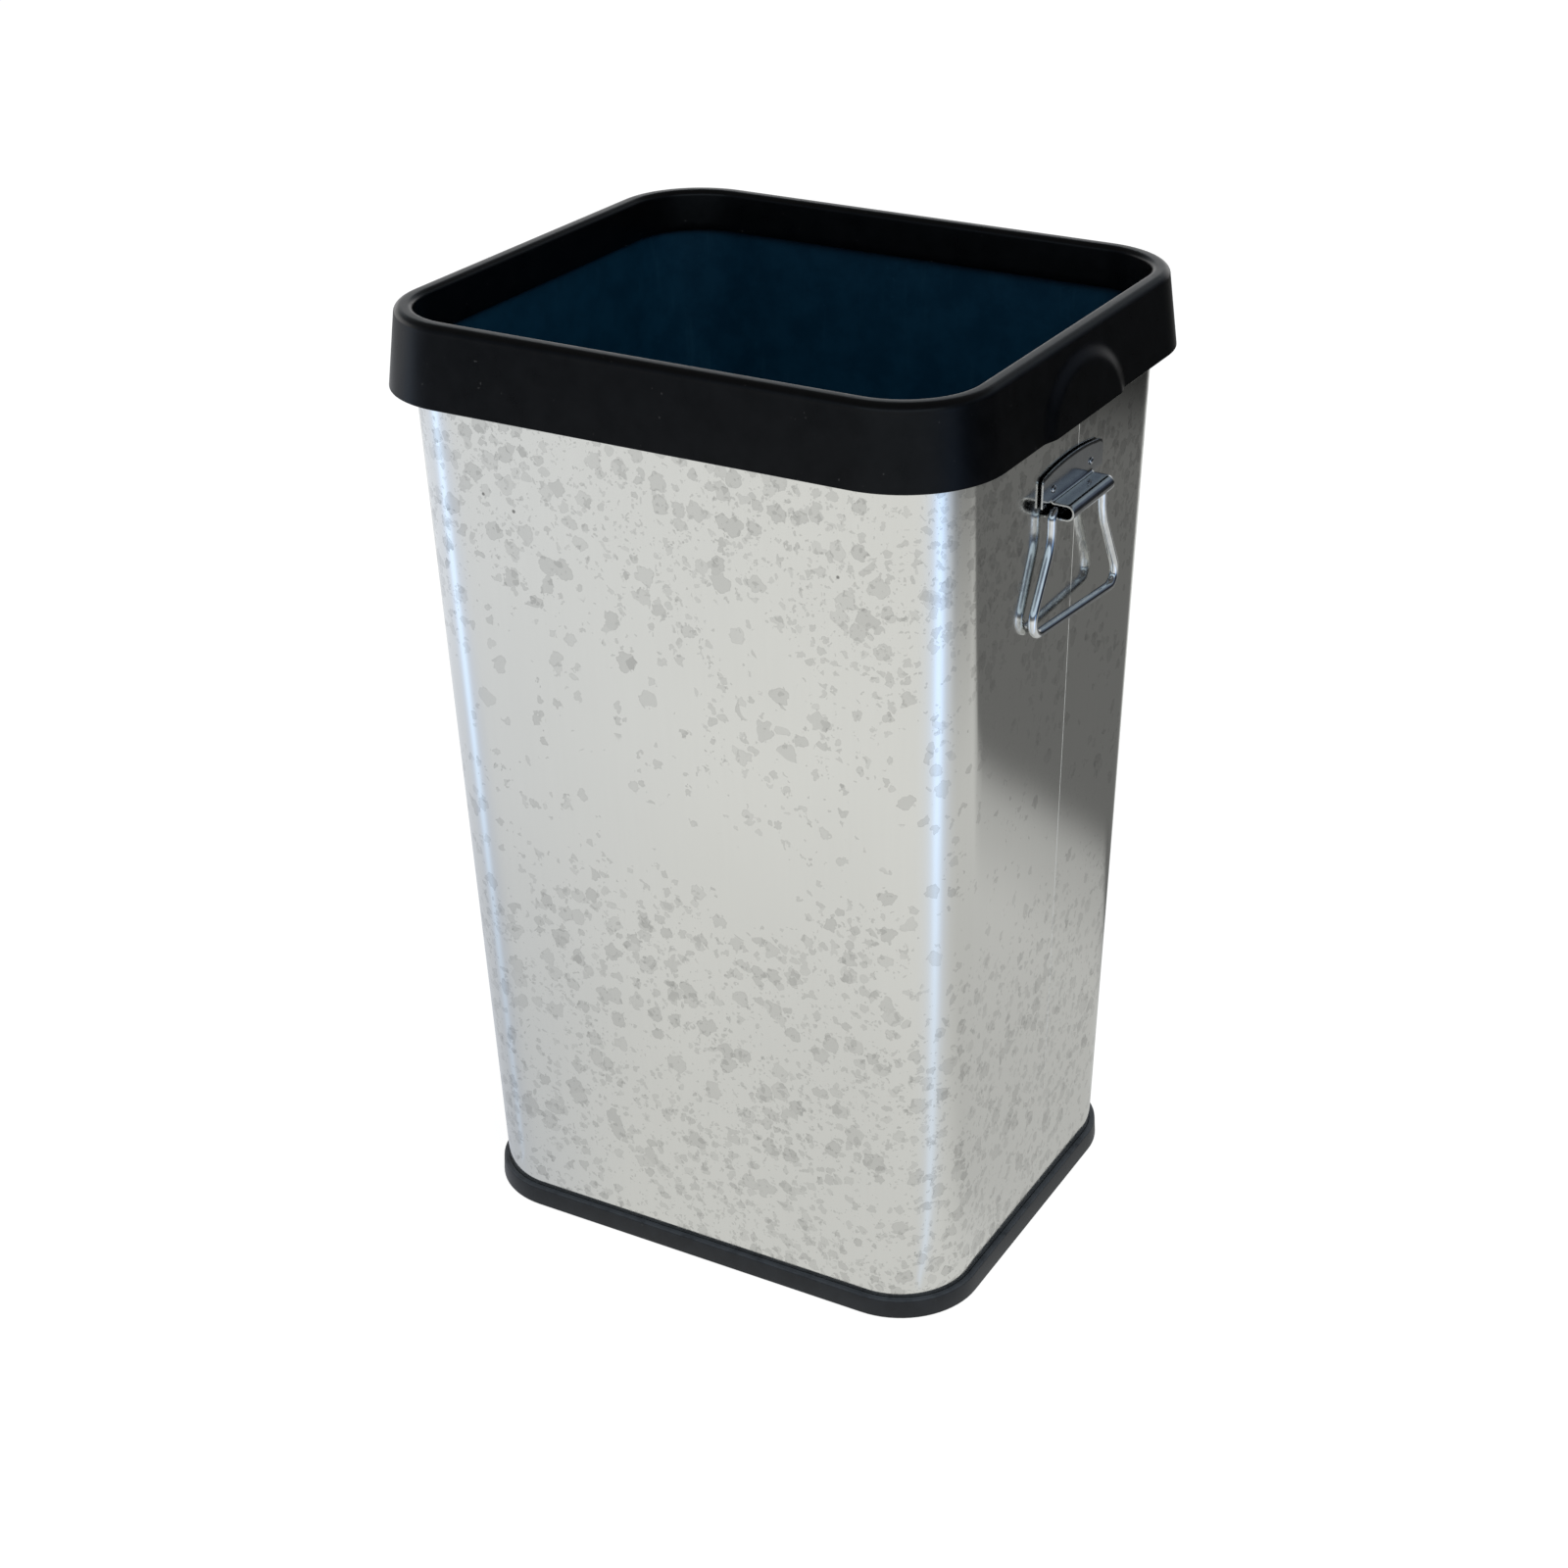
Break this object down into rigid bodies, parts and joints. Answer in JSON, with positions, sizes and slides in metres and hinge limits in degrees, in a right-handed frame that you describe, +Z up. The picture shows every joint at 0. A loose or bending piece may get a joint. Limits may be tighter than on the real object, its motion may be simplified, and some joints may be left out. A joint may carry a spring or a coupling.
{
  "type": "rectangular waste bin",
  "caption": "Tapered galvanized bin with rounded corners, a drop-on black collar, a black foot ring and a swinging wire bail on each side.",
  "frame": {"origin": "on the floor, under the middle of the bin", "axes": "+Z up, +X to the side with the handle that the picture shows, -Y to the front"},
  "size_m": [0.3882, 0.343, 0.6],
  "materials": {
    "galvanized": "galvanized sheet with a mottled spangle outside and a dark blue lacquer inside",
    "black_plastic": "fine-grained black moulding",
    "zinc_plate": "pressed zinc-plated sheet",
    "bright_wire": "bright plated wire"
  },
  "bodies": {
    "bin": {"body_shell": "galvanized", "bottom_pan": "galvanized", "foot_ring": "black_plastic", "bracket_right": "zinc_plate", "bracket_left": "zinc_plate", "rivet_right_front": "zinc_plate", "rivet_right_back": "zinc_plate", "rivet_left_front": "zinc_plate", "rivet_left_back": "zinc_plate"},
    "collar": {"rim_collar": "black_plastic"},
    "right_bail": {"bail_right": "bright_wire"},
    "left_bail": {"bail_left": "bright_wire"}
  },
  "joints": [
    {"name": "collar_lift", "type": "slide", "parent": "bin", "child": "collar", "axis": [0, 0, 1], "range_m": [0, 0.1]},
    {"name": "right_bail_swing", "type": "hinge", "parent": "bin", "child": "right_bail", "pos_m": [0.18303, 0.0065, 0.49988], "axis": [-0.0506, -0.9987, 0.0009], "range_deg": [0, 160]},
    {"name": "left_bail_swing", "type": "hinge", "parent": "bin", "child": "left_bail", "pos_m": [-0.18303, 0.0065, 0.49988], "axis": [-0.0506, 0.9987, -0.0009], "range_deg": [0, 160]}
  ]
}
